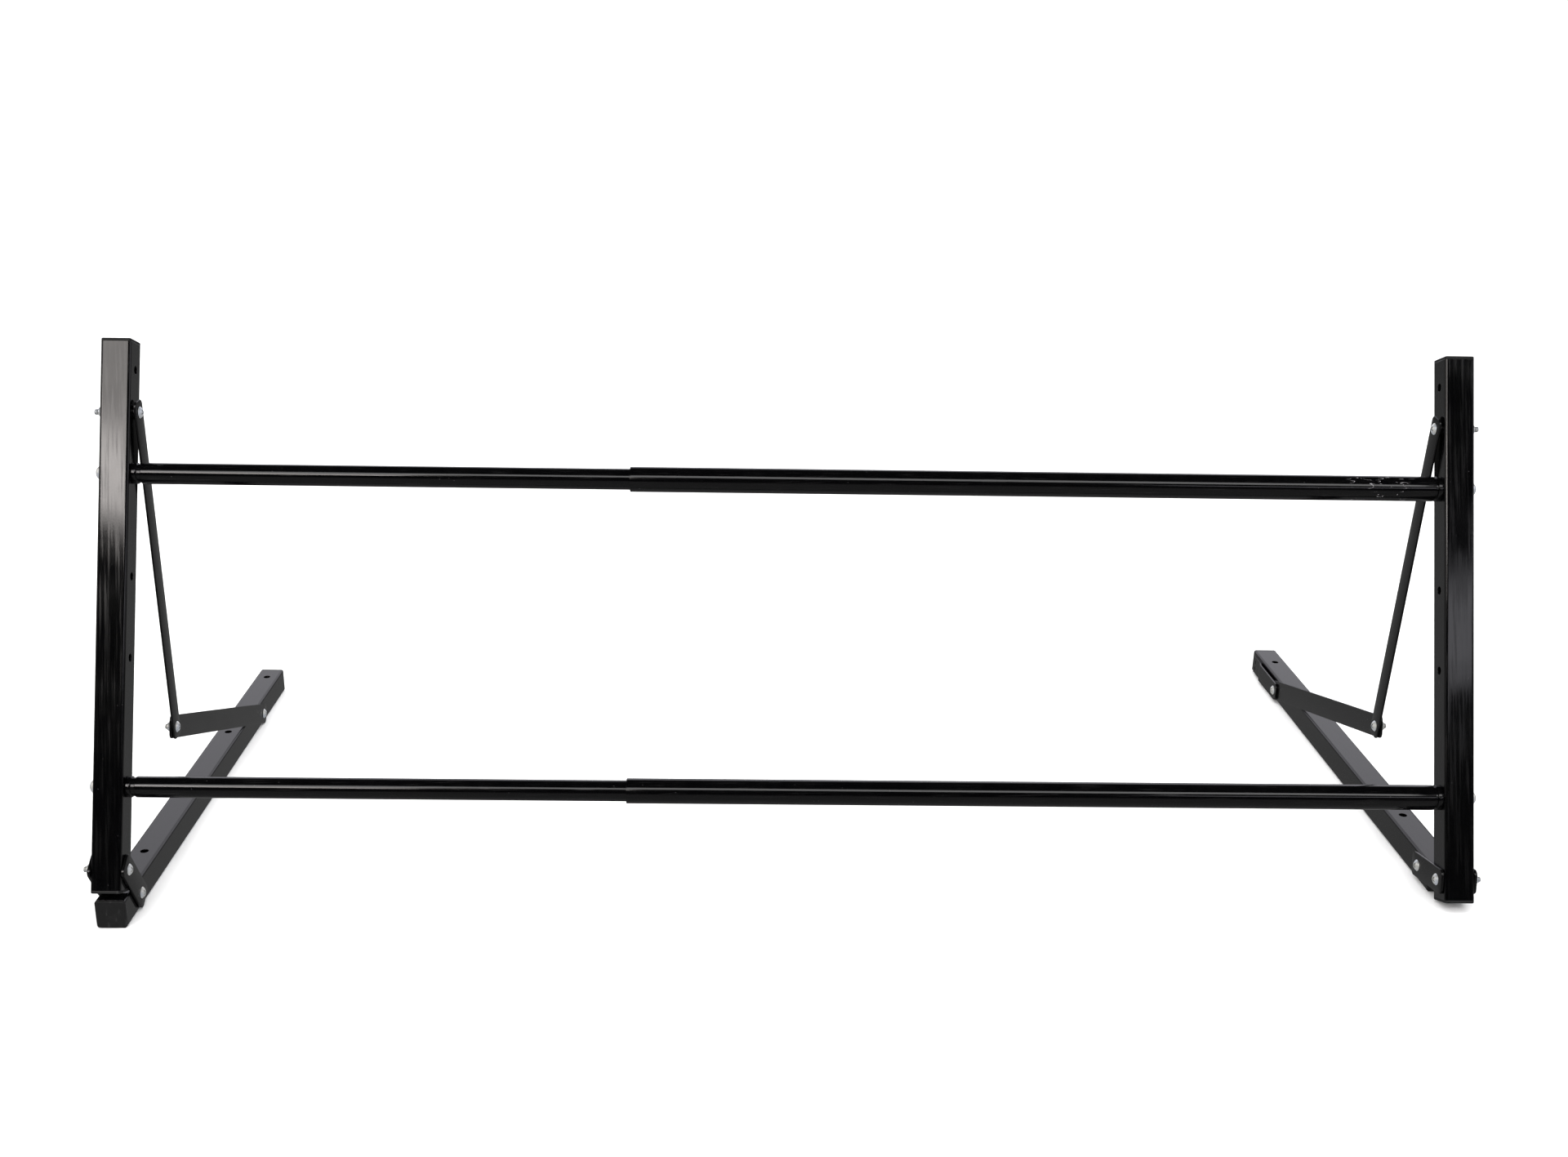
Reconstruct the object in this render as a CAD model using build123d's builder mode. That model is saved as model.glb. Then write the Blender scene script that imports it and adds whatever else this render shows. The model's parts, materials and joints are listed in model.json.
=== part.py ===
"""Folding wall rack: two arms joined by telescoping bars, hinged and braced to two wall rails.

World frame, millimetres: +X runs along the bars to the right, +Y along the rails away from the hinges,
+Z up from the surface that the rails lie on.  The hinge plates stand at different angles on the two
sides, so the right arm hangs lower against its rail than the left one, and the whole rack leans over
by the small angle `roll` until both rails touch the surface.
"""
from build123d import *
from math import acos, atan, atan2, cos, degrees, hypot, radians, sin
import os

os.makedirs("parts", exist_ok=True)

# ---- driving dimensions ------------------------------------------------------------------------
tube_width = 30.0            # square tube of the arms and the wall rails
tube_wall = 1.5
tube_corner = 3.0

arm_span = 1352.0            # from one arm's centre line to the other's
arm_tube_length = 547.0
arm_below_hinge = 19.4       # arm tube that reaches below the hinge bolt
arm_lean = 69.2              # angle between an arm and its rail
lower_bar_height = 82.6      # these four are measured up the arm from the hinge bolt
upper_bar_height = 396.6
link_bolt_height = 458.0
spare_hole_heights = (211.5, 293.0, 500.5)      # other places where a bar may be bolted
bar_hole_diameter = 8.5

rail_tail = {"left": 38.8, "right": 22.0}       # rail tube in front of its hinge bolt
rail_reach = {"left": 590.7, "right": 600.0}    # rail tube beyond the hinge bolt
rail_bolt_rise = 2.5         # the hinge bolt sits above the rail's middle line
rail_link_reach = {"left": 478.0, "right": 494.0}   # from the hinge bolt to the short link's bolt
rail_link_drop = 0.6         # that bolt sits below the rail's middle line
wall_hole_reach = {"left": (66.7, 382.2, 565.7), "right": (92.5, 386.0, 556.0)}
wall_hole_diameter = 8.5

plate_pitch = 48.0           # between the two bolts of a hinge plate
plate_width, plate_thickness = 25.5, 3.0
plate_dip = {"left": 56.9, "right": 10.95}      # how far each hinge plate points below the rail's line

long_link_pitch, long_link_width = 348.0, 21.0      # pitch is from bolt to bolt
short_link_pitch, short_link_width = 352.5, 25.0
link_thickness = 2.2
plate_overhang, link_overhang = 13.0, 12.0      # flat steel beyond its bolts
flat_corner = 6.0

thick_tube_diameter, thick_tube_wall = 25.4, 1.5
thin_tube_diameter, thin_tube_wall = 21.3, 1.2
thick_tube_mouth = -163.0    # X of the open end that takes the thin tube
tube_overlap = 220.0         # thin tube that stays inside the thick one
plug_flange = 5.5
plug_depth = 20.0
plug_groove = {"left": 4.0, "right": 2.0}       # neck left bare between flange and tube
plug_chamfer = 0.6
plug_bottom = 4.0            # solid end of the plug, behind its tapped hole

bolt_diameter, bolt_length = 6.0, 45.0      # the bolts of the hinges and links
bolt_hole = 6.2
head_diameter, head_height = 12.0, 3.4
nut_flats, nut_height = 10.0, 5.2
collar_height, collar_inset = 1.4, 0.6      # round collar on top of a locking nut
elbow_tip = 2.5              # bolt that stands out of the elbow's nut
bar_bolt_diameter, bar_bolt_length = 8.0, 45.0
bar_head_diameter, bar_head_height = 16.0, 5.6
washer_diameter, washer_thickness = 17.0, 1.6
recess_length, recess_width, recess_depth = 6.4, 1.3, 1.4
recess_turn = 20.0           # the cross recesses stand turned by this angle
spacer_diameter = 15.0

strap_width = 22.0           # guard strap over the right short link's eye
strap_raised, strap_ramp, strap_length = 62.0, 10.0, 96.0
strap_slot_length, strap_slot_width, strap_slot_pitch, strap_slot_edge = 5.0, 2.0, 9.0, 6.0

cap_flange, cap_depth = 3.0, 14.0
cap_wall, cap_hollow_corner, cap_rounding = 2.0, 1.0, 1.2
running_gap = 0.3            # between flat faces that turn on each other

# ---- places that follow from them --------------------------------------------------------------
half_tube = tube_width / 2
sides = {"left": -1, "right": 1}

rail_pin_drop = {side: plate_pitch * sin(radians(plate_dip[side])) for side in sides}
rail_drop = {side: rail_pin_drop[side] + rail_bolt_rise for side in sides}      # to its middle line
rail_shift = {side: plate_pitch * cos(radians(plate_dip[side])) for side in sides}
roll = atan((rail_drop["left"] - rail_drop["right"]) / arm_span)
corner_out = arm_span / 2 + half_tube - tube_corner
corner_down = rail_drop["right"] + half_tube - tube_corner
lift = tube_corner + corner_out * sin(roll) + corner_down * cos(roll)
lean_sine, lean_cosine = sin(radians(arm_lean)), cos(radians(arm_lean))
arm_front = (half_tube * lean_sine + (arm_below_hinge + cap_flange) * lean_cosine
             - cap_rounding * (lean_sine + lean_cosine - 1))
rail_far_end = rail_shift["right"] + rail_reach["right"] + cap_flange
hinge_line = (arm_front - rail_far_end) / 2     # Y of the arms' hinge bolts, with the origin at mid-depth

middle = 3.17                # X that the leaning rack's middle would otherwise have

short_link_inner = half_tube + running_gap + link_thickness
long_link_outer = short_link_inner + running_gap
long_link_inner = long_link_outer + link_thickness
plate_outer = half_tube + running_gap
plate_inner = plate_outer + plate_thickness


def place(x, y, z):
    """World point of x along the bars, y along the rails and z square to both, from the hinge line."""
    return Vector(x * cos(roll) + z * sin(roll) - middle, y + hinge_line,
                  lift + z * cos(roll) - x * sin(roll))


def along(turn):
    """Unit vector in the side view, turned up from the rails' direction by turn degrees."""
    return Vector(sin(radians(turn)) * sin(roll), cos(radians(turn)), sin(radians(turn)) * cos(roll))


across = Vector(cos(roll), 0, -sin(roll))       # direction of the bars and of every bolt


def stand_off(side, distance):
    """X at that distance from the middle plane of the side's tubes, towards the inside of the rack."""
    return sides[side] * (arm_span / 2 - distance)


def sheet_start(side, outer, inner):
    """X of the left face of a sheet piece that fills the space between two stand-offs."""
    return min(stand_off(side, outer), stand_off(side, inner))


def side_plane(x, point, turn=0.0):
    """Side view at x: local X is turned by turn degrees, and the normal is the bars' direction."""
    return Plane(origin=place(x, *point), x_dir=along(turn), z_dir=across)


def end_plane(x, point, turn):
    """Square across a member that runs from point at turn degrees."""
    return Plane(origin=place(x, *point), x_dir=across, z_dir=along(turn))


def step(point, length, turn):
    """The side-view point reached from point by going length at turn degrees."""
    return (point[0] + length * cos(radians(turn)), point[1] + length * sin(radians(turn)))


def elbow_of(arm_pin, rail_pin):
    """Where two links of known length meet, on the hinge's side of the line between their bolts."""
    dy, dz = rail_pin[0] - arm_pin[0], rail_pin[1] - arm_pin[1]
    gap = hypot(dy, dz)
    cosine = (long_link_pitch**2 + gap**2 - short_link_pitch**2) / (2 * long_link_pitch * gap)
    return step(arm_pin, long_link_pitch, degrees(atan2(dz, dy) - acos(cosine)))


def heading(start, end):
    """Direction from start to end in the side view, in degrees."""
    return degrees(atan2(end[1] - start[1], end[0] - start[0]))


def save(piece, name):
    piece.part.label = name
    export_step(piece.part, f"parts/{name}.step")


# ---- pieces ------------------------------------------------------------------------------------
def square_tube(x, start, turn, length, bores):
    """Square tube from start, with holes bored right through it, one set per (plane, points, diameter)."""
    inner = tube_width - 2 * tube_wall
    with BuildPart() as tube:
        with BuildSketch(end_plane(x, start, turn)):
            RectangleRounded(tube_width, tube_width, tube_corner)
            RectangleRounded(inner, inner, tube_corner - tube_wall, mode=Mode.SUBTRACT)
        extrude(amount=length)
        for plane, points, diameter in bores:
            with BuildSketch(plane):
                with Locations(*points):
                    Circle(diameter / 2)
            extrude(amount=tube_width, both=True, mode=Mode.SUBTRACT)
    return tube


def end_cap(x, end, turn):
    """Plastic plug with a flange that covers the tube's end, pushed in from end towards turn."""
    inner = tube_width - 2 * tube_wall
    hollow = inner - 2 * cap_wall
    with BuildPart() as cap:
        with BuildSketch(end_plane(x, end, turn)):
            RectangleRounded(inner, inner, tube_corner - tube_wall)
            RectangleRounded(hollow, hollow, cap_hollow_corner, mode=Mode.SUBTRACT)
        extrude(amount=cap_depth)
        with BuildSketch(end_plane(x, end, turn)):
            RectangleRounded(tube_width, tube_width, tube_corner)
        extrude(amount=-cap_flange)
        outer_face = cap.faces().sort_by(Axis((0, 0, 0), along(turn)))[0]
        fillet(outer_face.edges(), cap_rounding)
    return cap


def flat_bar(x, start, turn, pitch, width, thickness, overhang):
    """Flat steel bar with rounded corners and a bolt hole near each end, standing from x to x + thickness."""
    with BuildPart() as bar:
        with BuildSketch(side_plane(x, start, turn)):
            with Locations((pitch / 2, 0)):
                RectangleRounded(pitch + 2 * overhang, width, flat_corner)
            with Locations((0, 0), (pitch, 0)):
                Circle(bolt_hole / 2, mode=Mode.SUBTRACT)
        extrude(amount=thickness)
    return bar


def seat_plane(x, point, towards):
    """Plane of a bolt's or nut's seat, with its normal away from the joint that it closes."""
    return Plane(origin=place(x, *point), x_dir=along(recess_turn), z_dir=across * -towards)


def fastener_profile(seat):
    """Plane through a fastener's axis: local Y runs along the axis, away from the seat."""
    return Plane(origin=seat.origin, x_dir=seat.x_dir, z_dir=seat.y_dir * -1)


def guard_strap(x_tube, rail_pin, inward):
    """Joggled strap over the short link's eye: raised at the bolt, flat on the rail at its far end."""
    plan = Plane(origin=place(x_tube, *rail_pin), x_dir=along(0), z_dir=along(90) * -inward)
    raised = long_link_inner
    with BuildPart() as strap:
        with BuildSketch(plan):
            with BuildLine():
                Polyline((-strap_width / 2, raised - link_thickness), (strap_raised, raised - link_thickness),
                         (strap_raised + strap_ramp, half_tube), (strap_length, half_tube),
                         (strap_length, half_tube + link_thickness),
                         (strap_raised + strap_ramp, half_tube + link_thickness),
                         (strap_raised, raised), (-strap_width / 2, raised), close=True)
            make_face()
        extrude(amount=strap_width / 2, both=True)
        ends = strap.edges().filter_by(Axis((0, 0, 0), across)).sort_by(Axis((0, 0, 0), along(0)))
        fillet(ends[:2], flat_corner)
        with BuildSketch(side_plane(x_tube, rail_pin)):
            Circle(bolt_hole / 2)
            with Locations((strap_length - strap_slot_edge, 0)):
                with GridLocations(0, strap_slot_pitch, 1, 2):
                    Rectangle(strap_slot_width, strap_slot_length)
        extrude(amount=inward * tube_width, mode=Mode.SUBTRACT)
    return strap


def domed_bolts(seats, shank, diameter=bolt_diameter, head=(head_diameter, head_height)):
    """Domed cross-recess bolts, one per (x, point, towards), each with a shank that long."""
    head_radius, height = head[0] / 2, head[1]
    dome_radius = (height**2 + head_radius**2) / (2 * height)
    with BuildPart() as bolts:
        for x, point, towards in seats:
            seat = seat_plane(x, point, towards)
            with BuildSketch(fastener_profile(seat)):
                with BuildLine():
                    RadiusArc((head_radius, 0), (0, height), -dome_radius)
                    Polyline((0, height), (0, -shank), (diameter / 2, -shank),
                             (diameter / 2, 0), (head_radius, 0))
                make_face()
            revolve(axis=Axis(seat.origin, seat.z_dir))
            with BuildSketch(seat.offset(height)):
                Rectangle(recess_length, recess_width)
                Rectangle(recess_width, recess_length)
            extrude(amount=-recess_depth, mode=Mode.SUBTRACT)
    return bolts


def hex_nuts(seats, bore=bolt_diameter):
    """Locking nuts, one per (x, point, towards); a bore of 0 leaves the bolt's tip standing in it."""
    with BuildPart() as nuts:
        for x, point, towards in seats:
            seat = seat_plane(x, point, towards)
            with BuildSketch(seat):
                RegularPolygon(nut_flats / 2, 6, major_radius=False)
                if bore:
                    Circle(bore / 2, mode=Mode.SUBTRACT)
            extrude(amount=nut_height - collar_height)
            with BuildSketch(seat.offset(nut_height - collar_height)):
                Circle(nut_flats / 2 - collar_inset)
                if bore:
                    Circle(bore / 2, mode=Mode.SUBTRACT)
            extrude(amount=collar_height)
            if not bore:
                with BuildSketch(seat.offset(nut_height + elbow_tip)):
                    Circle(bolt_diameter / 2)
                extrude(amount=-(nut_height + elbow_tip + link_thickness))
    return nuts


def round_tube(x_from, x_to, point, diameter, wall):
    """Round tube that runs along the bars' direction."""
    with BuildPart() as tube:
        with BuildSketch(side_plane(x_from, point)):
            Circle(diameter / 2)
            Circle(diameter / 2 - wall, mode=Mode.SUBTRACT)
        extrude(amount=x_to - x_from)
    return tube


def bar_plug(x_face, point, towards, diameter, wall, groove):
    """Turned plug between an arm and a bar: a flange on the arm, a bare neck, and a spigot in the tube."""
    with BuildPart() as plug:
        face = Plane(origin=place(x_face, *point), x_dir=along(0), z_dir=across * towards)
        with BuildSketch(face):
            Circle(diameter / 2)
        extrude(amount=plug_flange)
        chamfer(plug.edges().filter_by(GeomType.CIRCLE), plug_chamfer)
        with BuildSketch(face.offset(plug_flange)):
            Circle(diameter / 2 - wall)
        extrude(amount=groove + plug_depth)
        with BuildSketch(face):
            Circle(bar_bolt_diameter / 2)
        extrude(amount=plug_flange + groove + plug_depth - plug_bottom, mode=Mode.SUBTRACT)
    return plug


def rings(seats, diameter, bore, length):
    """Plain rings, one per (x, point, towards), that stand that long off their seats."""
    with BuildPart() as ring:
        for x, point, towards in seats:
            with BuildSketch(seat_plane(x, point, towards)):
                Circle(diameter / 2)
                Circle(bore / 2, mode=Mode.SUBTRACT)
            extrude(amount=length)
    return ring


# ---- both sides --------------------------------------------------------------------------------
arm_pin = (0.0, 0.0)
arm_foot = step(arm_pin, -arm_below_hinge, arm_lean)
arm_tip = step(arm_foot, arm_tube_length, arm_lean)
link_pin = step(arm_pin, link_bolt_height, arm_lean)
lower_bar = step(arm_pin, lower_bar_height, arm_lean)
upper_bar = step(arm_pin, upper_bar_height, arm_lean)

for side, sign in sides.items():
    x_tube = sign * arm_span / 2
    rail_pin = (rail_shift[side], -rail_pin_drop[side])
    brace_pin = (rail_pin[0] + rail_link_reach[side], -rail_drop[side] - rail_link_drop)
    elbow = elbow_of(link_pin, brace_pin)

    # the arm, bored for its hinge and link bolts, and for the bars at five heights
    arm_view = side_plane(x_tube, arm_pin, arm_lean)
    bar_holes = (lower_bar_height, upper_bar_height) + spare_hole_heights
    arm = square_tube(x_tube, arm_foot, arm_lean, arm_tube_length, [
        (arm_view, [(0, 0), (link_bolt_height, 0)], bolt_hole),
        (arm_view, [(height, 0) for height in bar_holes], bar_hole_diameter)])
    save(arm, f"{side}_arm")
    save(end_cap(x_tube, arm_foot, arm_lean), f"{side}_arm_lower_cap")
    save(end_cap(x_tube, arm_tip, arm_lean + 180), f"{side}_arm_upper_cap")

    # the wall rail, bored for its hinge and link bolts and for the wall screws
    rail_middle = (rail_pin[0], -rail_drop[side])
    rail_start = (rail_pin[0] - rail_tail[side], -rail_drop[side])
    rail_end = (rail_pin[0] + rail_reach[side], -rail_drop[side])
    rail_view = side_plane(x_tube, rail_middle)
    rail_face = Plane(origin=place(x_tube, *rail_middle), x_dir=along(0), z_dir=along(90))
    rail = square_tube(x_tube, rail_start, 0, rail_tail[side] + rail_reach[side], [
        (rail_view, [(0, rail_bolt_rise), (rail_link_reach[side], -rail_link_drop)], bolt_hole),
        (rail_face, [(reach, 0) for reach in wall_hole_reach[side]], wall_hole_diameter)])
    save(rail, f"{side}_wall_rail")
    save(end_cap(x_tube, rail_start, 0), f"{side}_rail_hinge_cap")
    save(end_cap(x_tube, rail_end, 180), f"{side}_rail_far_cap")

    # hinge plates on both faces of the tubes, with the two bolts that clamp them
    for name, near, far in (("inner", plate_outer, plate_inner), ("outer", -plate_outer, -plate_inner)):
        plate = flat_bar(sheet_start(side, near, far), arm_pin, -plate_dip[side],
                         plate_pitch, plate_width, plate_thickness, plate_overhang)
        save(plate, f"{side}_{name}_hinge_plate")
    bolt_seats = [(stand_off(side, plate_inner), pin, sign) for pin in (arm_pin, rail_pin)]
    save(domed_bolts(bolt_seats, bolt_length), f"{side}_hinge_bolts")
    nut_seats = [(stand_off(side, -plate_inner), pin, -sign) for pin in (arm_pin, rail_pin)]
    save(hex_nuts(nut_seats), f"{side}_hinge_nuts")

    # the brace: a long link from the arm and a short link from the rail, bolted at the elbow
    long_link = flat_bar(sheet_start(side, long_link_outer, long_link_inner), link_pin,
                         heading(link_pin, elbow), long_link_pitch, long_link_width,
                         link_thickness, link_overhang)
    save(long_link, f"{side}_long_link")
    short_link = flat_bar(sheet_start(side, plate_outer, short_link_inner), brace_pin,
                          heading(brace_pin, elbow), short_link_pitch, short_link_width,
                          link_thickness, link_overhang)
    save(short_link, f"{side}_short_link")

    # the link bolt crosses the arm; a spacer holds the long link clear of the short one's plane
    spacer_length = long_link_outer - half_tube - running_gap / 2
    spacer_seats = [(stand_off(side, half_tube), link_pin, sign)]
    save(rings(spacer_seats, spacer_diameter, bolt_hole, spacer_length), f"{side}_link_spacer")
    link_seat = long_link_inner + running_gap
    save(domed_bolts([(stand_off(side, link_seat), link_pin, sign)], bolt_length), f"{side}_link_bolt")
    save(hex_nuts([(stand_off(side, -half_tube), link_pin, -sign)]), f"{side}_link_nut")

    # the elbow is the pivot left open: the bolt stops in the long link, its tip is with the nut
    elbow_bolt = domed_bolts([(stand_off(side, long_link_inner), elbow, sign)], link_thickness)
    save(elbow_bolt, f"{side}_elbow_bolt")
    save(hex_nuts([(stand_off(side, plate_outer), elbow, -sign)], bore=0), f"{side}_elbow_nut")

    # the bolt that holds the short link on the rail, over the guard strap where there is one
    brace_seat = long_link_inner if side == "right" else short_link_inner + running_gap
    save(domed_bolts([(stand_off(side, brace_seat), brace_pin, sign)], bolt_length),
         f"{side}_rail_link_bolt")
    save(hex_nuts([(stand_off(side, -half_tube), brace_pin, -sign)]), f"{side}_rail_link_nut")
    if side == "right":
        save(guard_strap(x_tube, brace_pin, -sign), "right_guard_strap")

    # plugs and bolts of the two bars
    diameter, wall = ((thin_tube_diameter, thin_tube_wall) if side == "left"
                      else (thick_tube_diameter, thick_tube_wall))
    for level, bar in (("upper", upper_bar), ("lower", lower_bar)):
        plug = bar_plug(stand_off(side, half_tube), bar, -sign, diameter, wall, plug_groove[side])
        save(plug, f"{level}_{side}_bar_plug")
    washer_seats = [(stand_off(side, -half_tube), bar, -sign) for bar in (upper_bar, lower_bar)]
    washers = rings(washer_seats, washer_diameter, bar_hole_diameter, washer_thickness)
    save(washers, f"{side}_bar_washers")
    head_seats = [(stand_off(side, -half_tube - washer_thickness), bar, -sign)
                  for bar in (upper_bar, lower_bar)]
    bar_bolts = domed_bolts(head_seats, bar_bolt_length, bar_bolt_diameter,
                            (bar_head_diameter, bar_head_height))
    save(bar_bolts, f"{side}_bar_bolts")

# ---- the telescoping bars ----------------------------------------------------------------------
inner_face = arm_span / 2 - half_tube
for level, bar in (("upper", upper_bar), ("lower", lower_bar)):
    thick_end = inner_face - plug_flange - plug_groove["right"]
    thick = round_tube(thick_tube_mouth, thick_end, bar, thick_tube_diameter, thick_tube_wall)
    save(thick, f"{level}_thick_tube")
    thin_start = -inner_face + plug_flange + plug_groove["left"]
    thin_end = thick_tube_mouth + tube_overlap
    thin = round_tube(thin_start, thin_end, bar, thin_tube_diameter, thin_tube_wall)
    save(thin, f"{level}_thin_tube")
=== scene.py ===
# %% [markdown]
# # A folding wall rack in gloss black
# The real object is two braced arms of square steel tube, hinged to two wall rails and joined by two
# round bars, each a thin tube that slides in a thick one. Everything is powder coated black, except for
# the zinc-plated bolts, nuts and washers and the plastic caps in the tube ends.
#
# The sizes, the places and the motion are already settled in the CAD frame, so this lesson only adds
# what the eye needs: finer surfaces, honest finishes and a quiet studio. We load the frame first. The
# finished model has to stay inside it.

# %% Load the frame
import json
from math import cos, pi, radians, sin

import bmesh
import bpy
import numpy as np
from mathutils import Matrix, Vector


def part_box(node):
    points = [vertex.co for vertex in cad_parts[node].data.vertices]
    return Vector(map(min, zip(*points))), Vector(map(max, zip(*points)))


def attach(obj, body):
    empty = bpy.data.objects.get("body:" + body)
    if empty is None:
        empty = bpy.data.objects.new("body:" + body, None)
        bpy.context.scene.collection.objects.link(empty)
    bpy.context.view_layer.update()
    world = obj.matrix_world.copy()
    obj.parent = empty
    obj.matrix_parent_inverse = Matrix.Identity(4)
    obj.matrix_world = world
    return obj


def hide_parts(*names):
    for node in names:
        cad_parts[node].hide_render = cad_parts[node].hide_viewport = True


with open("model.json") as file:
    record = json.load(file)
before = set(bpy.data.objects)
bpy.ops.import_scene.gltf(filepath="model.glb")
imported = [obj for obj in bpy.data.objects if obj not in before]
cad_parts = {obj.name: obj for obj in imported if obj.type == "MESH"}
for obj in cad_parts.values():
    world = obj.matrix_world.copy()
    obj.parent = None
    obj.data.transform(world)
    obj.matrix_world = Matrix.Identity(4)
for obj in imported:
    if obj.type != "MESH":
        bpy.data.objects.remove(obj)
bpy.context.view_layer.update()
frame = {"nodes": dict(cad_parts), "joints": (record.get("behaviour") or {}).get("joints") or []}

MM = 0.001

# %% [markdown]
# ## The rack's own directions
# The rack leans over by a little more than a degree, so nothing in it is quite square to the world.
# Instead of turning finished pieces, every shape is worked out in the rack's own three directions:
# `ACROSS` runs along the bars and is the axis of every bolt, `ALONG` runs up the wall rails, and
# `UP` is square to both. A hinge in the frame already knows the first of them.

# %% The rack's directions, and how to measure a node in them
hinges = {joint["name"]: joint for joint in frame["joints"] if joint["type"] == "hinge"}
ACROSS = np.array(hinges["right_arm_hinge"]["axis"])
ALONG = np.array([0.0, 1.0, 0.0])
UP = np.cross(ACROSS, ALONG)
RACK = np.array([ACROSS, ALONG, UP])
SIDES = {"left": -1.0, "right": 1.0}


def vertices_of(part):
    """All the corner points of a CAD node, as rows of world x, y, z."""
    mesh = frame["nodes"][part].data
    points = np.empty(len(mesh.vertices) * 3)
    mesh.vertices.foreach_get("co", points)
    return points.reshape(-1, 3)


def extent(part, axes=RACK):
    """Lowest and highest reach of a CAD node along three directions, as two rows of three numbers."""
    reach = vertices_of(part) @ np.asarray(axes).T
    return np.array([reach.min(0), reach.max(0)])


def pivot(joint):
    """A hinge's own point, measured along the rack's three directions."""
    return RACK @ np.array(hinges[joint]["pos_m"])


print("lean", round(float(np.degrees(np.arcsin(-ACROSS[2]))), 3), "degrees")

# %% [markdown]
# ## From a sheet of numbers to a mesh
# Each new piece is a grid: one parameter runs along the rows and the other along the columns, and the
# positions are worked out for the whole grid at once. A grid can be closed in either direction, as a
# ring or a tube is, and its first and last rows can shrink to a point. The alternative, adding a
# primitive and pushing its vertices about, hides the shape in a series of steps. Here the shape is a
# formula that can be read.

# %% Grid to mesh
SAME_PLACE = 2e-6         # points nearer than this, in metres, are one point


def quads(rows, columns, first=0, ring=False):
    """Faces of a grid that closes across its columns, and from its last row to its first if ring is set."""
    row = np.arange(rows if ring else rows - 1)[:, None]
    column = np.arange(columns)[None, :]
    below, right = (row + 1) % rows, (column + 1) % columns
    here, next_row = row * columns, below * columns
    corners = [here + column, here + right, next_row + right, next_row + column]
    return first + np.stack(np.broadcast_arrays(*corners), -1).reshape(-1, 4)


def make_piece(name, grids, material, crease=32.0):
    """One object from grids of shape (rows, columns, 3), each given as (grid, whether it is a ring)."""
    points, faces, first = [], [], 0
    for grid, ring in grids:
        points.append(grid.reshape(-1, 3))
        faces.append(quads(grid.shape[0], grid.shape[1], first, ring))
        first += len(points[-1])
    mesh = bpy.data.meshes.new(name)
    mesh.from_pydata(np.concatenate(points), [], np.concatenate(faces))
    finish_mesh(mesh, crease)
    mesh.materials.append(material)
    piece = bpy.data.objects.new(name, mesh)
    bpy.context.scene.collection.objects.link(piece)
    return piece


def finish_mesh(mesh, crease):
    """Closes poles and seams, turns faces outwards and keeps edges sharper than crease degrees crisp."""
    shape = bmesh.new()
    shape.from_mesh(mesh)
    bmesh.ops.remove_doubles(shape, verts=shape.verts, dist=SAME_PLACE)
    bmesh.ops.dissolve_degenerate(shape, edges=shape.edges, dist=SAME_PLACE / 2)
    bmesh.ops.recalc_face_normals(shape, faces=shape.faces)
    shape.to_mesh(mesh)
    shape.free()
    mesh.polygons.foreach_set("use_smooth", np.ones(len(mesh.polygons), bool))
    mesh.set_sharp_from_angle(angle=radians(crease))


def stand(local, centre, x_axis, y_axis, z_axis):
    """A world point plus local x, y and z, in millimetres, each times its own world direction."""
    return np.asarray(centre) + MM * (local @ np.array([x_axis, y_axis, z_axis]))


def turned(profile, columns, centre, axis):
    """A profile carried round an axis: radius times cosine and sine of the angle, and its height."""
    angle = np.linspace(0, 2 * pi, columns, endpoint=False)
    radius, height = np.asarray(profile, float).T
    local = np.stack([radius[:, None] * np.cos(angle), radius[:, None] * np.sin(angle),
                      height[:, None] * np.ones(columns)], -1)
    side = np.cross(axis, ALONG)
    return stand(local, centre, ALONG, side, axis)


def arc(centre, radius, start, stop, steps):
    """Centre plus radius times cosine and sine, from one angle in degrees to another."""
    angle = np.radians(np.linspace(start, stop, steps))
    return np.stack([centre[0] + radius * np.cos(angle), centre[1] + radius * np.sin(angle)], -1)


# %% [markdown]
# ## Shared effects as node groups
# Three effects come back in several finishes: the orange peel and fine mottling of a sprayed or moulded
# skin, the bright line where paint is thin over an edge, and dust that settles on faces that look up.
# Each is built once as a group with named sockets. A group gives out only colours, masks, values and
# normals. The shader stays in the material, where its constants can be read at a glance.

# %% Helpers for node trees
def new_group(name, inputs, outputs):
    """An empty shader group with float inputs {name: default} and outputs {name: socket type}."""
    group = bpy.data.node_groups.new(name, "ShaderNodeTree")
    for socket, default in inputs.items():
        made = group.interface.new_socket(socket, in_out="INPUT", socket_type="NodeSocketFloat")
        made.default_value = default
    for socket, kind in outputs.items():
        group.interface.new_socket(socket, in_out="OUTPUT", socket_type=kind)
    return group, group.nodes.new("NodeGroupInput"), group.nodes.new("NodeGroupOutput")


def add_node(tree, kind, links=(), **values):
    """A node of that kind. links are (input socket, source socket), and values set its properties."""
    made = tree.nodes.new(kind)
    for key, value in values.items():
        setattr(made, key, value)
    for socket, source in links:
        target = made.inputs[socket]
        if isinstance(source, bpy.types.NodeSocket):
            tree.links.new(source, target)
        else:
            target.default_value = source
    return made


def maths(tree, operation, first, second=0.0, clamp=False):
    """The output of a Math node."""
    inputs = [(0, first), (1, second)]
    return add_node(tree, "ShaderNodeMath", inputs, operation=operation, use_clamp=clamp).outputs[0]


def mix_colour(tree, factor, first, second):
    """The output of a Mix node for colours."""
    made = add_node(tree, "ShaderNodeMix", data_type="RGBA")
    for index, value in ((0, factor), (6, first), (7, second)):
        if isinstance(value, bpy.types.NodeSocket):
            tree.links.new(value, made.inputs[index])
        else:
            made.inputs[index].default_value = value
    return made.outputs[2]


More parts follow.
